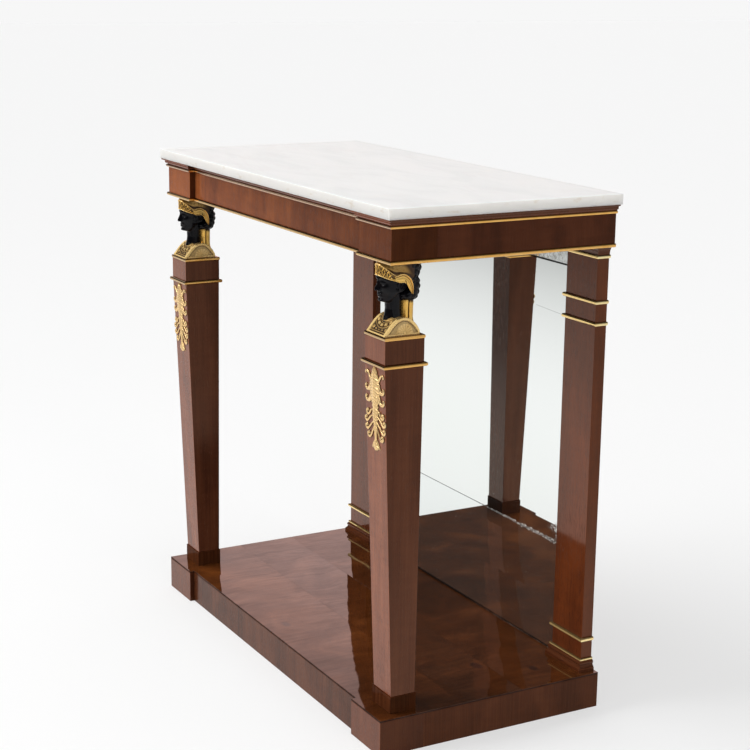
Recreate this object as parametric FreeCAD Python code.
import FreeCAD, Part
import math
import os

# Pier table: a marble slab on a breakfront frieze, carried in front by two tapered
# term legs with busts and behind by two flat pilasters with a mirror between them,
# all standing on a box plinth. Millimetres, +X right, +Y to the wall, +Z up, with the
# origin on the floor at the middle of the table's bounding box.

V = FreeCAD.Vector
os.makedirs("parts", exist_ok=True)

# ---------------------------------------------------------------- driving dimensions
overall_height = 880.0
overall_width = 890.0            # length of the marble slab
overall_depth = 428.0            # marble's front edge to the back of the plinth

fit = 0.2                        # clearance on each side of a tenon, dowel or panel
ease = 0.3                       # clearance between curved or loosely laid pieces

marble_thickness = 17.0
marble_edge_round = 1.2
marble_short_of_wall = 2.0

# frieze
frieze_height = 70.0
marble_side_overhang = 12.0
marble_front_overhang = 12.0
frieze_short_of_wall = 5.0
frieze_block_width = 102.0
frieze_block_depth = 80.0
frieze_recess = 10.5             # the centre stands back from the corner blocks
frieze_rail = 24.0               # thickness of the rails
bearer_width = 50.0
bearer_thickness = 18.0
bearer_tail = 12.0               # length of the lapped dovetails
bearer_tail_slope = 5.0          # how much a tail widens on each side
cornice_height = 10.5
cornice_reach = 10.5
frieze_fillet_height = 5.0
frieze_fillet_reach = 4.0
frieze_bead_height = 6.5
frieze_bead_reach = 3.2
glue_block = 24.0
frieze_glue_block_length = 56.0
frieze_glue_block_drop = 7.0        # their tops below the slab

# plinth
plinth_height = 62.0
plinth_side_beyond_frieze = 1.0
plinth_front_setback = 4.0       # behind the marble's front edge
plinth_block_width = 98.0
plinth_block_depth = 80.0
plinth_recess = 8.5
plinth_rail = 22.0
plinth_leaf = 3.0                # sawn veneer laid over the whole top
plinth_board = 16.0
cross_rail_width = 40.0
cross_rail_height = 30.0
plinth_glue_block_length = 60.0

# joints of the rails
rail_tenon_thickness = 8.0
rail_tenon_length = 20.0
stub_tenon_length = 12.0
tenon_shoulder = 10.0            # a rail's tenon stops this far from each edge

# front legs
leg_inset = 46.0                 # axis from the frieze's end
leg_top_back = 34.0              # axis at the top from the frieze's front plane
leg_rake = 9.0                   # the foot's axis stands this far behind the top's
foot_block_height = 28.0
foot_block_width = 60.0
foot_block_depth = 47.0
shaft_foot_width = 57.0
shaft_foot_depth = 43.5
shaft_top_width = 64.0
shaft_top_depth = 68.0
cap_block_width = 65.0
cap_block_depth = 69.0
cap_block_height = 43.0
leg_band_height = 6.5
leg_band_seat = 2.5              # how deep a leg's gilt bands are let in
leg_band_reach = 4.4             # how far the neck band stands out
cap_band_height = 6.0
cap_band_reach = 1.0
leg_tenon_width = 24.0
leg_tenon_depth = 20.0
leg_tenon_into_plinth = 20.0
cap_tenon = 30.0
cap_tenon_height = 12.0
edge_round = 0.8

# busts
bust_height = 113.0
bust_forward = 2.5               # bust axis in front of the leg's top axis
shoulder_width = 56.0
shoulder_depth = 61.0
shoulder_height = 24.0
shoulder_crown_back = 0.21       # the vault's highest line behind its middle, in half depths
shoulder_rim = 5.0               # width of the raised arch at each end
shoulder_rim_proud = 1.0
rod_radius = 4.0
rod_in_block = 25.0
rod_in_frieze = 35.0
neck_half_width = 11.5
neck_half_depth = 13.0
head_height = 65.0               # chin to soffit, cap included
head_half_width = 21.5
head_half_depth = 28.0
nose_width = 6.0
nose_reach = 3.0
nose_sunk = 8.0                  # how deep the nose's wedge is let into the face
cap_over_head = 1.8              # the headdress stands this far out round the skull
diadem_height = 43.0             # its lower edge over the brow, above the chin
diadem_slope = 17.0              # degrees that it falls towards the ears
hair_from_axis = 14.0            # the dark hair starts this far behind the bust's axis
hair_half_width = 24.5
hair_back = 38.0                 # furthest point behind the bust's axis
hair_above_chin = 2.0
nape_cloth_half_width = 16.0
nape_cloth_front = 8.5           # faces of the hanging cloth, behind the bust's axis
nape_cloth_back = 30.0
nape_cloth_spread = 3.0          # how much further back it ends on the shoulders

# leaf mounts
mount_thickness = 2.5
mount_drop = 2.5                 # below the neck band
mount_length = 133.0
mount_half_width = 28.0

# rear pilasters
pilaster_width = 85.0
pilaster_from_frieze_end = 18.0
pilaster_thickness = 22.0
pilaster_short_of_wall = 1.5
pilaster_tenon_width = 40.0
pilaster_tenon_thickness = 8.0
pilaster_tenon_length = 18.0
pilaster_lip = 8.8               # thickness left in front of the glass
pilaster_rebate = 20.0
pilaster_cap_height = 14.5
pilaster_cap_reach = 5.0
pilaster_cap_foot = 1.2
pilaster_band_height = 6.5
pilaster_band_reach = 4.4
pilaster_cap_band_height = 6.0
upper_neck_band_drop = 89.0      # its top below the soffit
lower_neck_band_drop = 125.0
lower_band_rise = 53.0           # its underside above the plinth
base_moulding_height = 18.0
base_moulding_reach = 8.5
base_moulding_top = 3.0
base_fillet_height = 4.5
base_fillet_reach = 3.6

# looking glass
glass_thickness = 4.0
glass_in_rebate = 8.0
lower_plate_height = 199.0
top_plate_height = 46.0
plate_joint = 0.5

# ------------------------------------------------------------------ levels and planes
front = -overall_depth / 2
wall = overall_depth / 2
marble_bottom = overall_height - marble_thickness
soffit = marble_bottom - frieze_height
leg_cap_top = soffit - bust_height
cap_block_bottom = leg_cap_top - cap_block_height
shaft_top = cap_block_bottom - leg_band_height
shaft_bottom = plinth_height + foot_block_height

frieze_half = overall_width / 2 - marble_side_overhang
frieze_front = front + marble_front_overhang
frieze_back = wall - frieze_short_of_wall
recess_front = frieze_front + frieze_recess
block_inner = frieze_half - frieze_block_width
block_back = frieze_front + frieze_block_depth

plinth_half = frieze_half + plinth_side_beyond_frieze
plinth_front = front + plinth_front_setback
plinth_recess_front = plinth_front + plinth_recess
plinth_block_inner = plinth_half - plinth_block_width
plinth_block_back = plinth_front + plinth_block_depth
carcase_top = plinth_height - plinth_leaf
board_bottom = carcase_top - plinth_board

leg_x = frieze_half - leg_inset
leg_y = frieze_front + leg_top_back
foot_y = leg_y + leg_rake
bust_y = leg_y - bust_forward

pilaster_outer = frieze_half - pilaster_from_frieze_end
pilaster_inner = pilaster_outer - pilaster_width
pilaster_back = wall - pilaster_short_of_wall
pilaster_front = pilaster_back - pilaster_thickness
glass_front = pilaster_front + pilaster_lip
glass_back = glass_front + glass_thickness
glass_half = pilaster_inner + glass_in_rebate
rebate_wall = pilaster_inner + pilaster_rebate


# ------------------------------------------------------------------------ small tools
def block(x0, x1, y0, y1, z0, z1):
    """A square-edged piece between two corners."""
    return Part.makeBox(x1 - x0, y1 - y0, z1 - z0, V(x0, y0, z0))


def centred(cx, cy, width, depth, z0, z1):
    """A square-edged piece about a vertical axis."""
    return block(cx - width / 2, cx + width / 2, cy - depth / 2, cy + depth / 2, z0, z1)


def slab(points, z0, z1):
    """A plan outline carried up from z0 to z1."""
    wire = Part.makePolygon([V(x, y, z0) for x, y in points + points[:1]])
    return Part.Face(wire).extrude(V(0, 0, z1 - z0))


def oval_wire(cx, cy, half_width, half_depth, z):
    """A four-centred oval, its long axis front to back, drawn with two small and two large arcs."""
    small = half_width * half_width / half_depth * 1.12
    lean = math.radians(53.0)
    join_x = small * math.sin(lean)
    join_y = half_depth - small + small * math.cos(lean)
    right = [V(cx + join_x, cy - join_y, z), V(cx + half_width, cy, z), V(cx + join_x, cy + join_y, z)]
    left = [V(cx - join_x, cy + join_y, z), V(cx - half_width, cy, z), V(cx - join_x, cy - join_y, z)]
    behind, before = V(cx, cy + half_depth, z), V(cx, cy - half_depth, z)
    back_arc = arc(right[2], behind, left[0])
    front_arc = arc(left[2], before, right[0])
    return Part.Wire([arc(*right), back_arc, arc(*left), front_arc])


def other_side(shape):
    """The same piece on the left of the table."""
    return shape.mirror(V(0, 0, 0), V(1, 0, 0))


def moulding(path, profile, z, reach, closed=False):
    """Straight lengths of one moulding along a plan path, mitred where they meet.

    The path is walked with the outside on its left. profile(at) gives the section's
    edges, where at(out, up) is a point that far off the path and above z.
    """
    count = len(path)
    margin = 2 * reach
    legs = list(range(count if closed else count - 1))
    normals = []
    for i in legs:
        a, b = path[i], path[(i + 1) % count]
        length = math.hypot(b[0] - a[0], b[1] - a[1])
        normals.append(V(-(b[1] - a[1]) / length, (b[0] - a[0]) / length, 0))
    pieces = []
    for i in legs:
        start, end = V(*path[i], z), V(*path[(i + 1) % count], z)
        normal = normals[i]
        before = normals[i - 1] if (closed or i > 0) else normal
        after = normals[(i + 1) % len(normals)] if (closed or i + 1 < len(normals)) else normal
        mitre_start = (before + normal) * (margin / (1 + before.dot(normal)))
        mitre_end = (after + normal) * (margin / (1 + after.dot(normal)))
        plan = Part.makePolygon([start, end, end + mitre_end, start + mitre_start, start])
        along = (end - start).normalize()
        origin = start - along * margin

        def at(out, up, origin=origin, normal=normal):
            return origin + normal * out + V(0, 0, up)

        section = Part.Face(Part.Wire(profile(at)))
        bar = section.extrude(along * ((end - start).Length + 2 * margin))
        mitred = Part.Face(plan).extrude(V(0, 0, bar.BoundBox.ZMax - z))
        pieces += bar.common(mitred).Solids
    return pieces


def line(a, b):
    return Part.LineSegment(a, b).toShape()


def arc(a, mid, b):
    return Part.Arc(a, mid, b).toShape()


bead_nose = ((0.0, 0.0), (0.66, 0.10), (1.0, 0.34), (1.0, 0.66), (0.66, 0.90), (0.0, 1.0))


def bead_section(height, reach, seat=0.0):
    """A round nose filed in five flats, set on a flat seat where it has one.

    bead_nose holds the nose's corners in shares of its own reach and of the height.
    """
    flat = max(seat, reach - height / 3)

    def edges(at):
        corners = [at(flat + (reach - flat) * out, height * up) for out, up in bead_nose]
        if flat > 0.0:
            corners += [at(0, height), at(0, 0)]
        return [line(a, b) for a, b in zip(corners, corners[1:] + corners[:1])]
    return edges


def cornice_section(height, reach):
    """A cyma under a square lip, on a small square foot."""
    foot = 1.5
    lip = 2.5
    mid_out = (foot + reach - 1) / 2
    mid_up = (foot + height - lip) / 2

    def edges(at):
        return [
            line(at(0, 0), at(foot, 0)),
            line(at(foot, 0), at(foot, foot)),
            arc(at(foot, foot), at(mid_out - 0.4, (foot + mid_up) / 2 - 0.6), at(mid_out, mid_up)),
            arc(at(mid_out, mid_up), at(mid_out + 0.4, (mid_up + height - lip) / 2 + 0.6),
                at(reach - 1, height - lip)),
            line(at(reach - 1, height - lip), at(reach, height - lip)),
            line(at(reach, height - lip), at(reach, height)),
            line(at(reach, height), at(0, height)),
            line(at(0, height), at(0, 0)),
        ]
    return edges


def flared_section(height, foot, reach):
    """A hollow that spreads from a narrow foot to a square lip."""
    lip = height / 6

    def edges(at):
        return [
            line(at(0, 0), at(foot, 0)),
            arc(at(foot, 0), at(foot + (reach - foot) * 0.3, (height - lip) * 0.6), at(reach, height - lip)),
            line(at(reach, height - lip), at(reach, height)),
            line(at(reach, height), at(0, height)),
            line(at(0, height), at(0, 0)),
        ]
    return edges


def base_section(height, reach, top):
    """A square plinth, then a hollow, then a small round under the gilt fillet."""
    plinth = height * 0.28
    round_bottom = height * 0.62
    nose = top + 1.8

    def edges(at):
        return [
            line(at(0, 0), at(reach, 0)),
            line(at(reach, 0), at(reach, plinth)),
            arc(at(reach, plinth), at((reach + nose) / 2 - 0.9, (plinth + round_bottom) / 2),
                at(nose - 0.6, round_bottom)),
            arc(at(nose - 0.6, round_bottom), at(nose + 0.9, (round_bottom + height) / 2), at(top, height)),
            line(at(top, height), at(0, height)),
            line(at(0, height), at(0, 0)),
        ]
    return edges


def save(name, *shapes):
    """Write one node: its solids side by side in one file."""
    solids = [solid for shape in shapes for solid in shape.Solids]
    piece = solids[0] if len(solids) == 1 else Part.makeCompound(solids)
    piece.exportStep(f"parts/{name}.step")
    print(f"{name:32s} {len(solids)} solid(s) {piece.Volume / 1000:10.1f} cm3")


def save_pair(name, *shapes):
    """Write a right-hand node and its mirror image on the left."""
    save(f"right_{name}", *shapes)
    save(f"left_{name}", *[other_side(shape) for shape in shapes])


# ----------------------------------------------------------------------- marble slab
def marble_top():
    """A plain slab that lies loose on the frieze, its arrises just eased."""
    half = overall_width / 2
    piece = block(-half, half, front, wall - marble_short_of_wall, marble_bottom, overall_height)
    upper = [edge for edge in piece.Edges if edge.BoundBox.ZMin > overall_height - 0.001]
    return piece.makeFillet(marble_edge_round, upper)


# ---------------------------------------------------------------------------- frieze
front_rail_back = recess_front + frieze_rail
back_rail_front = frieze_back - frieze_rail
side_rail_inner = frieze_half - frieze_rail
frieze_tenon = (soffit + tenon_shoulder, marble_bottom - tenon_shoulder)


def tongue(x0, x1, y0, y1, levels, clearance=0.0):
    """A tenon, or with clearance its mortise."""
    return block(x0 - clearance, x1 + clearance, y0 - clearance, y1 + clearance,
                 levels[0] - clearance, levels[1] + clearance)


def front_rail_tenon(clearance=0.0):
    """The right tenon of the frieze's front rail."""
    middle = recess_front + frieze_rail / 2
    return tongue(block_inner, block_inner + rail_tenon_length, middle - rail_tenon_thickness / 2,
                  middle + rail_tenon_thickness / 2, frieze_tenon, clearance)


def side_rail_tenon(clearance=0.0):
    """The front tenon of the right side rail."""
    middle = frieze_half - frieze_rail / 2
    return tongue(middle - rail_tenon_thickness / 2, middle + rail_tenon_thickness / 2,
                  block_back - rail_tenon_length, block_back, frieze_tenon, clearance)


def back_rail_tenon(clearance=0.0):
    """The right stub tenon of the frieze's back rail."""
    middle = frieze_back - frieze_rail / 2
    return tongue(side_rail_inner, side_rail_inner + stub_tenon_length, middle - rail_tenon_thickness / 2,
                  middle + rail_tenon_thickness / 2, frieze_tenon, clearance)


def rod_hole(z0, z1):
    """The clearance hole for a bust's iron rod."""
    return Part.makeCylinder(rod_radius + ease, z1 - z0, V(leg_x, bust_y, z0))


def frieze_corner_block():
    """The solid block over a front leg, mortised for both rails and bored for the rod."""
    piece = block(block_inner, frieze_half, frieze_front, block_back, soffit, marble_bottom)
    piece = piece.cut(front_rail_tenon(fit))
    piece = piece.cut(side_rail_tenon(fit))
    return piece.cut(rod_hole(soffit, soffit + rod_in_frieze + ease))


def dovetail(rail_face, direction, clearance=0.0):
    """One lapped tail of the bearer, entering a rail in the given direction of Y."""
    neck = bearer_width / 2 - bearer_tail_slope
    tip = rail_face + direction * (bearer_tail + clearance)
    half_tip = bearer_width / 2 + clearance
    half_neck = neck + clearance
    outline = [(-half_neck, rail_face), (half_neck, rail_face), (half_tip, tip), (-half_tip, tip)]
    return slab(outline, marble_bottom - bearer_thickness - clearance, marble_bottom)


def frieze_front_rail():
    """The recessed rail between the corner blocks."""
    piece = block(-block_inner, block_inner, recess_front, front_rail_back, soffit, marble_bottom)
    piece = piece.fuse([front_rail_tenon(), other_side(front_rail_tenon())])
    return piece.cut(dovetail(front_rail_back, -1, fit)).removeSplitter()


def frieze_side_rail():
    """From the corner block to the back, flush with the block's side."""
    piece = block(side_rail_inner, frieze_half, block_back, frieze_back, soffit, marble_bottom)
    return piece.fuse(side_rail_tenon()).cut(back_rail_tenon(fit)).removeSplitter()


def pilaster_tenon(z0, z1, clearance=0.0):
    """A pilaster's tenon at either end."""
    middle = (pilaster_inner + pilaster_outer) / 2
    y0 = pilaster_front + (glass_front - pilaster_front) / 2
    return block(middle - pilaster_tenon_width / 2 - clearance, middle + pilaster_tenon_width / 2 + clearance,
                 y0 - clearance, y0 + pilaster_tenon_thickness + clearance, z0, z1)


def frieze_back_rail():
    """The rail over the pilasters and the glass."""
    piece = block(-side_rail_inner, side_rail_inner, back_rail_front, frieze_back, soffit, marble_bottom)
    piece = piece.fuse([back_rail_tenon(), other_side(back_rail_tenon())])
    mortise = pilaster_tenon(soffit, soffit + pilaster_tenon_length + fit, fit)
    piece = piece.cut([mortise, other_side(mortise)])
    return piece.cut(dovetail(back_rail_front, 1, fit)).removeSplitter()


def frieze_centre_bearer():
    """The rail that steadies the slab, dropped into both rails with lapped dovetails."""
    bar = block(-bearer_width / 2, bearer_width / 2, front_rail_back, back_rail_front,
                marble_bottom - bearer_thickness, marble_bottom)
    return bar.fuse([dovetail(front_rail_back, -1), dovetail(back_rail_front, 1)]).removeSplitter()


def corner_glue_block(x, y, toward_x, toward_y, z0, z1):
    """A chamfered block rubbed into the corner of two faces at x, y."""
    far_x = x + toward_x * glue_block
    far_y = y + toward_y * glue_block
    outline = [(x, y), (far_x, y), (far_x, y + toward_y * glue_block / 3),
               (x + toward_x * glue_block / 3, far_y), (x, far_y)]
    return slab(outline, z0, z1)


def frieze_glue_blocks():
    """Six blocks in the corners of the frieze."""
    z1 = marble_bottom - frieze_glue_block_drop
    z0 = z1 - frieze_glue_block_length
    right = [corner_glue_block(side_rail_inner, back_rail_front, -1, -1, z0, z1),
             corner_glue_block(block_inner, front_rail_back, -1, 1, z0, z1),
             corner_glue_block(side_rail_inner, block_back, -1, 1, z0, z1)]
    return right + [other_side(piece) for piece in right]


frieze_path = [(frieze_half, frieze_back), (frieze_half, frieze_front), (block_inner, frieze_front),
               (block_inner, recess_front), (-block_inner, recess_front), (-block_inner, frieze_front),
               (-frieze_half, frieze_front), (-frieze_half, frieze_back)]


def cornice_moulding():
    """The mahogany cornice under the slab, mitred round the corner blocks."""
    return moulding(frieze_path, cornice_section(cornice_height, cornice_reach),
                    marble_bottom - cornice_height, cornice_reach)


def frieze_gilt_fillet():
    """The thin gilt round under the cornice."""
    return moulding(frieze_path, bead_section(frieze_fillet_height, frieze_fillet_reach),
                    marble_bottom - cornice_height - frieze_fillet_height, frieze_fillet_reach)


def frieze_gilt_bead():
    """The gilt half-round along the frieze's lower edge."""
    section = bead_section(frieze_bead_height, frieze_bead_reach)
    return moulding(frieze_path, section, soffit, frieze_bead_reach)


# ------------------------------------------------------------------------ front legs
def leg_tenon(z0, z1, clearance=0.0):
    """The tenon that runs through the foot block into the plinth."""
    return centred(leg_x, foot_y, leg_tenon_width + 2 * clearance, leg_tenon_depth + 2 * clearance, z0, z1)


def cap_tenon_block(z1, clearance=0.0):
    """The tenon on the shaft's top."""
    side = cap_tenon + 2 * clearance
    return centred(leg_x, leg_y, side, side, cap_block_bottom, z1)


def leg_shaft():
    """The tapered shaft: its front and sides close in, its back stays nearly upright."""
    piece = Part.makeWedge(
        leg_x - shaft_foot_width / 2, shaft_bottom, -(foot_y + shaft_foot_depth / 2),
        -(leg_y + shaft_top_depth / 2), leg_x - shaft_top_width / 2,
        leg_x + shaft_foot_width / 2, shaft_top, -(foot_y - shaft_foot_depth / 2),
        -(leg_y - shaft_top_depth / 2), leg_x + shaft_top_width / 2)
    piece.rotate(V(0, 0, 0), V(1, 0, 0), 90)
    neck = centred(leg_x, leg_y, cap_block_width - 2 * leg_band_seat, cap_block_depth - 2 * leg_band_seat,
                   shaft_top, cap_block_bottom)
    lower = leg_tenon(plinth_height - plinth_leaf - leg_tenon_into_plinth, shaft_bottom)
    upper = cap_tenon_block(cap_block_bottom + cap_tenon_height)
    return piece.fuse([neck, lower, upper]).removeSplitter()


def leg_foot_block():
    """The block under the shaft, mortised through."""
    piece = centred(leg_x, foot_y, foot_block_width, foot_block_depth, plinth_height, shaft_bottom)
    upper = [edge for edge in piece.Edges if edge.BoundBox.ZMin > shaft_bottom - 0.001]
    piece = piece.makeFillet(edge_round, upper)
    return piece.cut(leg_tenon(plinth_height, shaft_bottom, fit))


def rect_path(width, depth):
    """A leg's plan, walked with the outside on the left."""
    x0, x1 = leg_x - width / 2, leg_x + width / 2
    y0, y1 = leg_y - depth / 2, leg_y + depth / 2
    return [(x1, y1), (x1, y0), (x0, y0), (x0, y1)]


def leg_cap_block():
    """The block over the neck band, rebated round its top for the cap band."""
    piece = centred(leg_x, leg_y, cap_block_width, cap_block_depth, cap_block_bottom, leg_cap_top)
    core = centred(leg_x, leg_y, cap_block_width - 2 * leg_band_seat, cap_block_depth - 2 * leg_band_seat,
                   leg_cap_top - cap_band_height, leg_cap_top)
    around = centred(leg_x, leg_y, cap_block_width + 2, cap_block_depth + 2,
                     leg_cap_top - cap_band_height, leg_cap_top)
    piece = piece.cut(around.cut(core))
    piece = piece.cut(cap_tenon_block(cap_block_bottom + cap_tenon_height + fit, fit))
    return piece.cut(rod_hole(leg_cap_top - rod_in_block - ease, leg_cap_top))


def leg_neck_band():
    """The gilt band between shaft and cap block, four mitred lengths."""
    path = rect_path(cap_block_width - 2 * leg_band_seat, cap_block_depth - 2 * leg_band_seat)
    reach = leg_band_seat + leg_band_reach
    return moulding(path, bead_section(leg_band_height, reach, leg_band_seat), shaft_top, reach, closed=True)


def leg_cap_band():
    """The gilt strip let into the cap block's top edge."""
    path = rect_path(cap_block_width - 2 * leg_band_seat, cap_block_depth - 2 * leg_band_seat)
    reach = leg_band_seat + cap_band_reach
    return moulding(path, bead_section(cap_band_height, reach, leg_band_seat),
                    leg_cap_top - cap_band_height, reach, closed=True)


# ----------------------------------------------------------------------- leaf mounts
def leaf(outline):
    """A flat piece of the mount between edges that close on each other."""
    return Part.Face(Part.Wire(outline)).extrude(V(0, -mount_thickness, 0))


def on_mount(across, down):
    """A point in shares of the mount's half width and length."""
    return V(across * mount_half_width, 0, -down * mount_length)


def pointed_leaf(top, bottom, half_width):
    """Two arcs that meet in points on the centre line."""
    a, b = on_mount(0, top), on_mount(0, bottom)
    middle = (a + b) / 2
    left = arc(a, middle - V(half_width, 0, 0), b)
    right = arc(b, middle + V(half_width, 0, 0), a)
    return leaf([left, right])


def curled_leaf(root, tip, bow, breadth):
    """A crescent that hangs below the line from root to tip."""
    a, b = on_mount(*root), on_mount(*tip)
    along = b - a
    under = V(along.z, 0, -along.x).normalize()
    middle = (a + b) / 2
    outer = arc(a, middle + under * (bow + breadth), b)
    if bow == 0.0:
        return leaf([outer, line(b, a)])
    return leaf([outer, arc(b, middle + under * bow, a)])


def leaf_mount():
    """The gilt leaf-and-honeysuckle drop, cut as one plate and laid on the sloping front.

    From the top: two horns, the long leaf with two curled side leaves on each side, the
    stem, four hooked honeysuckle lobes on each side, and a bud between two small leaves.
    """
    body = [pointed_leaf(0.0, 0.49, mount_half_width * 0.46),
            pointed_leaf(0.42, 0.80, mount_half_width * 0.28),
            pointed_leaf(0.66, 0.92, mount_half_width * 0.14),
            pointed_leaf(0.84, 1.0, mount_half_width * 0.18)]
    curls = (((0.10, 0.12), (0.95, 0.04), 1.5, 4.5), ((0.25, 0.20), (0.96, 0.23), 3.0, 7.0),
             ((0.20, 0.32), (0.98, 0.365), 3.5, 7.0), ((0.10, 0.56), (0.84, 0.54), 7.0, 5.0),
             ((0.12, 0.61), (0.98, 0.63), 7.0, 5.5), ((0.12, 0.67), (0.94, 0.73), 6.0, 5.5),
             ((0.06, 0.72), (0.74, 0.82), 4.0, 5.5), ((0.0, 0.885), (0.42, 0.94), 0.0, 3.5))
    right = [curled_leaf(*curl) for curl in curls]
    left = [other_side(piece) for piece in right]
    plate = body[0].fuse(body[1:] + right + left).removeSplitter()
    fall = shaft_top - shaft_bottom
    front_at_top = leg_y - shaft_top_depth / 2
    front_at_foot = foot_y - shaft_foot_depth / 2
    slope = (front_at_foot - front_at_top) / fall
    plate.rotate(V(0, 0, 0), V(1, 0, 0), math.degrees(math.atan(slope)))
    plate.translate(V(leg_x, front_at_top + slope * mount_drop, shaft_top - mount_drop))
    return plate


# ----------------------------------------------------------------------------- busts
def sawn(edges, along, grow):
    """A view's outline, grown all round and carried through the block along one axis."""
    wire = Part.Wire(edges)
    if grow:
        wire = wire.makeOffset2D(grow)
    return Part.Face(wire).extrude(along)


def vault(grow=0.0):
    """The shoulders' lopsided vault along X: a flat sloping collar in front, rounds over and behind.

    Places are in shares of half depth and height.
    """
    def at(forward, up):
        return V(leg_x - shoulder_width / 2, bust_y - forward * shoulder_depth / 2,
                 leg_cap_top + up * shoulder_height)
    front_foot, front_edge, collar_top = at(1, 0), at(1, 0.04), at(0.53, 0.60)
    crown, back_edge, back_foot = at(-shoulder_crown_back, 1), at(-1, 0.25), at(-1, 0)
    edges = [line(front_foot, front_edge), line(front_edge, collar_top),
             arc(collar_top, at(0.18, 0.885), crown), arc(crown, at(-0.68, 0.74), back_edge),
             line(back_edge, back_foot), line(back_foot, front_foot)]
    return sawn(edges, V(shoulder_width, 0, 0), grow)


def bust_shoulders():
    """The square herm shoulders: a vault with a raised arch round each end."""
    between = centred(leg_x, bust_y, shoulder_width - 2 * shoulder_rim, shoulder_depth * 2,
                      leg_cap_top, soffit)
    arches = vault(shoulder_rim_proud).cut(between)
    seat = centred(leg_x, bust_y, shoulder_width, shoulder_depth, leg_cap_top, soffit)
    piece = vault().fuse(arches.common(seat)).removeSplitter()
    return piece.cut(rod_hole(leg_cap_top, soffit))


chin = soffit - head_height
head_y = bust_y - 0.5
shoulder_clear = vault(ease)


def side_view(grow):
    """Throat, chin, lips, brow, crown and nape; places in shares of half depth and height."""
    def at(forward, up):
        return V(leg_x - head_half_depth, head_y - forward * head_half_depth, chin + up * head_height)
    throat, under_chin, chin_front = at(0.30, 0.06), at(0.66, 0.0), at(0.92, 0.09)
    lip, brow, occiput, nape = at(0.90, 0.24), at(0.99, 0.52), at(-1.0, 0.62), at(-0.42, 0.18)
    edges = [line(throat, under_chin), arc(under_chin, at(0.86, 0.02), chin_front),
             arc(chin_front, at(0.895, 0.16), lip), arc(lip, at(0.94, 0.38), brow),
             arc(brow, at(0.0, 1.08), occiput), arc(occiput, at(-0.84, 0.36), nape), line(nape, throat)]
    return sawn(edges, V(2 * head_half_depth, 0, 0), grow)


def front_view(grow):
    """Chin, cheeks and temples; places in shares of half width and height."""
    def at(across, up):
        return V(leg_x + across * head_half_width, head_y - 2 * head_half_depth, chin + up * head_height)
    jaw_left, jaw_right = at(-0.36, 0.03), at(0.36, 0.03)
    temple_left, temple_right = at(-1, 0.55), at(1, 0.55)
    top_left, top_right = at(-1, 1.1), at(1, 1.1)
    edges = [arc(jaw_left, at(0, -0.01), jaw_right), arc(jaw_right, at(0.82, 0.24), temple_right),
             line(temple_right, top_right), line(top_right, top_left), line(top_left, temple_left),
             arc(temple_left, at(-0.82, 0.24), jaw_left)]
    return sawn(edges, V(0, 4 * head_half_depth, 0), grow)


def oval_post(half_width, half_depth, cy, z0, z1):
    """An upright oval post on the leg's middle plane."""
    return Part.Face(oval_wire(leg_x, cy, half_width, half_depth, z0)).extrude(V(0, 0, z1 - z0))


def skull(grow=0.0):
    """Head and jaw, as a carver blocks them out: three views sawn through one block."""
    top_view = oval_post(head_half_width + grow, head_half_depth + grow, head_y, leg_cap_top, soffit)
    return top_view.common(side_view(grow)).common(front_view(grow))


def above_diadem(grow=0.0):
    """Everything over the sloping plane of the diadem's lower edge."""
    space = block(-100, 100, -100, 200, 0, 100)
    space.rotate(V(0, 0, 0), V(1, 0, 0), -diadem_slope)
    space.translate(V(leg_x, head_y - head_half_depth, chin + diadem_height - grow))
    return space


def neck(grow=0.0):
    """The round of the neck, from the shoulders up into the skull."""
    return oval_post(neck_half_width + grow, neck_half_depth + grow, head_y,
                     leg_cap_top + shoulder_height / 2, chin + head_height * 0.4)


def bust_head():
    """Neck and head below the diadem, with a plain wedge for the nose, bored for the rod."""
    face = head_y - head_half_depth
    bridge = chin + head_height * 0.50
    tip = chin + head_height * 0.30
    x = leg_x - nose_width / 2
    root = V(x, face + nose_sunk, bridge)
    wedge = Part.makePolygon([root, V(x, face + 0.5, bridge), V(x, face - nose_reach, tip),
                              V(x, face + nose_sunk, tip - nose_reach / 2), root])
    nose = Part.Face(wedge).extrude(V(nose_width, 0, 0))
    piece = skull().cut(above_diadem()).fuse([neck(), nose]).removeSplitter()
    return piece.cut([shoulder_clear, rod_hole(leg_cap_top, soffit)])


def bust_headdress():
    """The gilt cap over the diadem line, and the cloth that falls from the nape to the shoulders."""
    cap = skull(cap_over_head).common(above_diadem()).cut(rod_hole(leg_cap_top, soffit))
    front_face = bust_y + nape_cloth_front
    back_face = bust_y + nape_cloth_back
    foot = leg_cap_top + shoulder_height * 0.3
    top = chin + hair_above_chin
    side = [V(0, front_face, top), V(0, back_face, top), V(0, back_face, leg_cap_top + shoulder_height),
            V(0, back_face + nape_cloth_spread, foot), V(0, front_face, foot)]
    x = leg_x - nape_cloth_half_width
    wire = Part.makePolygon([V(x, point.y, point.z) for point in side + side[:1]])
    cloth = Part.Face(wire).extrude(V(2 * nape_cloth_half_width, 0, 0))
    cloth = cloth.cut([shoulder_clear, neck(ease), skull(ease)])
    return cap, max(cloth.Solids, key=lambda solid: solid.Volume)


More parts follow.
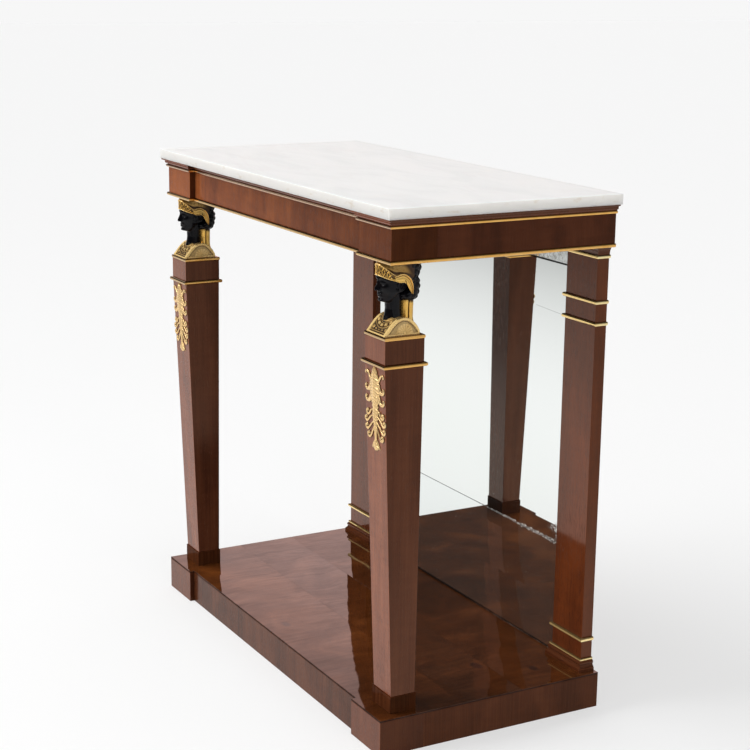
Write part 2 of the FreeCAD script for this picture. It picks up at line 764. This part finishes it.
def bust_hair():
    """The dark rolled hair round the back of the head, from the nape to the soffit."""
    front_face = bust_y + hair_from_axis
    back_face = bust_y + hair_back
    low = chin + hair_above_chin + ease
    high = soffit - 1.0
    roll = (back_face - front_face) / 3
    x = leg_x - hair_half_width
    corners = [V(x, y, z) for y, z in (
        (front_face, low), (back_face - 2 * roll, low), (back_face, low + 2 * roll),
        (back_face, high - roll), (back_face - roll, high), (front_face, high))]
    under = V(x, back_face - roll / 2, low + roll / 2)
    over = V(x, back_face - 0.3 * roll, high - 0.3 * roll)
    edges = [line(corners[0], corners[1]), arc(corners[1], under, corners[2]), line(corners[2], corners[3]),
             arc(corners[3], over, corners[4]), line(corners[4], corners[5]), line(corners[5], corners[0])]
    hair = sawn(edges, V(2 * hair_half_width, 0, 0), 0.0)
    outside = oval_post(hair_half_width, hair_back - hair_from_axis, front_face, leg_cap_top, soffit)
    grown = cap_over_head + ease
    inside = oval_post(head_half_width + grown, head_half_depth + grown, head_y, leg_cap_top, soffit)
    hair = hair.common(outside).cut([inside, neck(ease)])
    return max(hair.Solids, key=lambda solid: solid.Volume)


def bust_rod():
    """The iron rod that ties the leg, the bust and the frieze together."""
    z0 = leg_cap_top - rod_in_block
    return Part.makeCylinder(rod_radius, soffit + rod_in_frieze - z0, V(leg_x, bust_y, z0))


# ------------------------------------------------------------------- rear pilasters
pilaster_path = [(pilaster_outer, pilaster_back), (pilaster_outer, pilaster_front),
                 (pilaster_inner, pilaster_front), (pilaster_inner, glass_front)]


def pilaster():
    """The flat upright, rebated behind for the glass and its panel."""
    piece = block(pilaster_inner, pilaster_outer, pilaster_front, pilaster_back, plinth_height, soffit)
    rebate = block(pilaster_inner, rebate_wall, glass_front, pilaster_back, plinth_height, soffit)
    upper = pilaster_tenon(soffit, soffit + pilaster_tenon_length)
    lower = pilaster_tenon(plinth_height - pilaster_tenon_length, plinth_height)
    return piece.cut(rebate).fuse([upper, lower]).removeSplitter()


def pilaster_cap():
    """The spreading cap under the frieze, three mitred lengths."""
    return moulding(pilaster_path, flared_section(pilaster_cap_height, pilaster_cap_foot, pilaster_cap_reach),
                    soffit - pilaster_cap_height, pilaster_cap_reach)


def pilaster_band(z, height=pilaster_band_height):
    """One gilt band round the three open sides."""
    return moulding(pilaster_path, bead_section(height, pilaster_band_reach), z, pilaster_band_reach)


def pilaster_cap_bands():
    """The band under the cap and the two neck bands."""
    return (pilaster_band(soffit - pilaster_cap_height - pilaster_cap_band_height, pilaster_cap_band_height)
            + pilaster_band(soffit - upper_neck_band_drop - pilaster_band_height)
            + pilaster_band(soffit - lower_neck_band_drop - pilaster_band_height))


def pilaster_base_moulding():
    """The moulded base, three mitred lengths standing on the plinth."""
    section = base_section(base_moulding_height, base_moulding_reach, base_moulding_top)
    return moulding(pilaster_path, section, plinth_height, base_moulding_reach)


def pilaster_base_bands():
    """The gilt round on the base and the band above it."""
    fillet = moulding(pilaster_path, bead_section(base_fillet_height, base_fillet_reach),
                      plinth_height + base_moulding_height, base_fillet_reach)
    return fillet + pilaster_band(plinth_height + lower_band_rise)


# ---------------------------------------------------------------------- looking glass
glass_bottom = plinth_height + ease
glass_top = soffit - ease


def plate(z0, z1):
    """One sheet of glass, held in the pilasters' rebates."""
    return block(-glass_half, glass_half, glass_front + ease / 3, glass_back, z0, z1)


def back_panel():
    """Three boards behind the glass, butted side by side."""
    half = rebate_wall - fit
    width = 2 * half / 3
    boards = [block(-half + i * width + fit / 2, -half + (i + 1) * width - fit / 2,
                    glass_back, pilaster_back, glass_bottom, glass_top) for i in range(3)]
    return boards


def mirror_packing_strips():
    """The two strips that fill the rebates beside the glass."""
    right = block(glass_half + fit, rebate_wall - fit, glass_front + ease / 3, glass_back,
                  glass_bottom, glass_top)
    return [right, other_side(right)]


# ---------------------------------------------------------------------------- plinth
plinth_tenon = (tenon_shoulder, carcase_top - tenon_shoulder)
plinth_front_back = plinth_recess_front + plinth_rail
plinth_back_front = wall - plinth_rail
plinth_side_inner = plinth_half - plinth_rail


def plinth_front_tenon(clearance=0.0):
    """The right tenon of the plinth's front rail."""
    middle = plinth_recess_front + plinth_rail / 2
    return tongue(plinth_block_inner, plinth_block_inner + rail_tenon_length,
                  middle - rail_tenon_thickness / 2, middle + rail_tenon_thickness / 2,
                  plinth_tenon, clearance)


def plinth_side_tenon(clearance=0.0):
    """The front tenon of the plinth's right side rail."""
    middle = plinth_half - plinth_rail / 2
    return tongue(middle - rail_tenon_thickness / 2, middle + rail_tenon_thickness / 2,
                  plinth_block_back - rail_tenon_length, plinth_block_back, plinth_tenon, clearance)


def plinth_back_tenon(clearance=0.0):
    """The right stub tenon of the plinth's back rail."""
    middle = wall - plinth_rail / 2
    return tongue(plinth_side_inner, plinth_side_inner + stub_tenon_length, middle - rail_tenon_thickness / 2,
                  middle + rail_tenon_thickness / 2, plinth_tenon, clearance)


def plinth_corner_block():
    """The block under a leg, which is mortised into it."""
    piece = block(plinth_block_inner, plinth_half, plinth_front, plinth_block_back, 0, carcase_top)
    piece = piece.cut([plinth_front_tenon(fit), plinth_side_tenon(fit)])
    return piece.cut(leg_tenon(carcase_top - leg_tenon_into_plinth - fit, carcase_top, fit))


cross_rail_top = board_bottom
cross_rail_bottom = board_bottom - cross_rail_height
cross_tenon = (cross_rail_bottom + tenon_shoulder / 2, cross_rail_top - tenon_shoulder / 2)


def cross_rail_tenons(clearance=0.0):
    """The stub tenons at both ends of the cross rail."""
    half = cross_rail_width / 2 - tenon_shoulder / 2
    ends = ((plinth_front_back - stub_tenon_length, plinth_front_back),
            (plinth_back_front, plinth_back_front + stub_tenon_length))
    return [tongue(-half, half, y0, y1, cross_tenon, clearance) for y0, y1 in ends]


def plinth_front_rail():
    """The recessed rail between the plinth's corner blocks."""
    piece = block(-plinth_block_inner, plinth_block_inner, plinth_recess_front, plinth_front_back,
                  0, carcase_top)
    piece = piece.fuse([plinth_front_tenon(), other_side(plinth_front_tenon())])
    return piece.cut(cross_rail_tenons(fit)[0]).removeSplitter()


def plinth_side_rail():
    """From a corner block to the back."""
    piece = block(plinth_side_inner, plinth_half, plinth_block_back, wall, 0, carcase_top)
    return piece.fuse(plinth_side_tenon()).cut(plinth_back_tenon(fit)).removeSplitter()


def plinth_back_rail():
    """The rail that carries the pilasters."""
    piece = block(-plinth_side_inner, plinth_side_inner, plinth_back_front, wall, 0, carcase_top)
    piece = piece.fuse([plinth_back_tenon(), other_side(plinth_back_tenon())])
    mortise = pilaster_tenon(plinth_height - pilaster_tenon_length - fit, carcase_top, fit)
    return piece.cut([mortise, other_side(mortise), cross_rail_tenons(fit)[1]]).removeSplitter()


def plinth_top_board():
    """The ground for the veneer, set down between the rails and notched round the blocks."""
    x1 = plinth_side_inner - fit
    x0 = plinth_block_inner - fit
    y0 = plinth_front_back + fit
    y1 = plinth_block_back + fit
    y2 = plinth_back_front - fit
    outline = [(-x0, y0), (x0, y0), (x0, y1), (x1, y1), (x1, y2), (-x1, y2), (-x1, y1), (-x0, y1)]
    return slab(outline, board_bottom, carcase_top)


def plinth_top_veneer():
    """The sawn mahogany leaf over board, rails and blocks, with its breakfront."""
    half, inner = plinth_half, plinth_block_inner
    outline = [(-half, plinth_front), (-inner, plinth_front), (-inner, plinth_recess_front),
               (inner, plinth_recess_front), (inner, plinth_front), (half, plinth_front),
               (half, wall), (-half, wall)]
    piece = slab(outline, carcase_top, plinth_height)
    holes = [leg_tenon(carcase_top, plinth_height, fit), pilaster_tenon(carcase_top, plinth_height, fit)]
    return piece.cut(holes + [other_side(hole) for hole in holes])


def plinth_cross_rail():
    """The rail under the middle of the board."""
    half = cross_rail_width / 2
    piece = block(-half, half, plinth_front_back, plinth_back_front, cross_rail_bottom, cross_rail_top)
    return piece.fuse(cross_rail_tenons()).removeSplitter()


def rail_glue_block(x, y, out_x, out_y):
    """A triangular block rubbed in under the board, against a rail's inner face at x, y."""
    length = plinth_glue_block_length
    z1 = board_bottom
    corner = V(x, y, z1)
    along = V(abs(out_y), abs(out_x), 0) * (length / 2)
    inward = V(out_x, out_y, 0) * glue_block
    start = corner - along
    outline = [start, start + inward, start - V(0, 0, glue_block), start]
    return Part.Face(Part.makePolygon(outline)).extrude(along * 2)


def plinth_glue_blocks():
    """Blocks along all four rails."""
    pieces = []
    for share in (0.3, 0.75):
        x = plinth_block_inner * share
        pieces.append(rail_glue_block(x, plinth_front_back, 0, 1))
        pieces.append(rail_glue_block(x, plinth_back_front, 0, -1))
    run = plinth_back_front - plinth_block_back
    for share in (0.15, 0.5, 0.85):
        pieces.append(rail_glue_block(plinth_side_inner, plinth_block_back + run * share, -1, 0))
    return pieces + [other_side(piece) for piece in pieces]


# ----------------------------------------------------------------- write every node
save("marble_top", marble_top())

save_pair("frieze_corner_block", frieze_corner_block())
save("frieze_front_rail", frieze_front_rail())
save_pair("frieze_side_rail", frieze_side_rail())
save("frieze_back_rail", frieze_back_rail())
save("frieze_centre_bearer", frieze_centre_bearer())
save("frieze_glue_blocks", *frieze_glue_blocks())
save("cornice_moulding", *cornice_moulding())
save("frieze_gilt_fillet", *frieze_gilt_fillet())
save("frieze_gilt_bead", *frieze_gilt_bead())

save_pair("leg_shaft", leg_shaft())
save_pair("leg_foot_block", leg_foot_block())
save_pair("leg_cap_block", leg_cap_block())
save_pair("leg_neck_band", *leg_neck_band())
save_pair("leg_cap_band", *leg_cap_band())
save("leaf_mounts", leaf_mount(), other_side(leaf_mount()))

save_pair("bust_shoulders", bust_shoulders())
save_pair("bust_head", bust_head())
save_pair("bust_headdress", *bust_headdress())
save_pair("bust_hair", bust_hair())
save_pair("bust_rod", bust_rod())

save_pair("pilaster", pilaster())
save_pair("pilaster_cap", *pilaster_cap())
save_pair("pilaster_cap_bands", *pilaster_cap_bands())
save_pair("pilaster_base_moulding", *pilaster_base_moulding())
save_pair("pilaster_base_bands", *pilaster_base_bands())

save("mirror_lower_plate", plate(glass_bottom, plinth_height + lower_plate_height))
save("mirror_main_plate", plate(plinth_height + lower_plate_height + plate_joint,
                                soffit - top_plate_height - plate_joint))
save("mirror_top_plate", plate(soffit - top_plate_height, glass_top))
save("back_panel", *back_panel())
save("mirror_packing_strips", *mirror_packing_strips())

save("plinth_top_veneer", plinth_top_veneer())
save("plinth_top_board", plinth_top_board())
save("plinth_front_rail", plinth_front_rail())
save_pair("plinth_corner_block", plinth_corner_block())
save_pair("plinth_side_rail", plinth_side_rail())
save("plinth_back_rail", plinth_back_rail())
save("plinth_cross_rail", plinth_cross_rail())
save("plinth_glue_blocks", *plinth_glue_blocks())
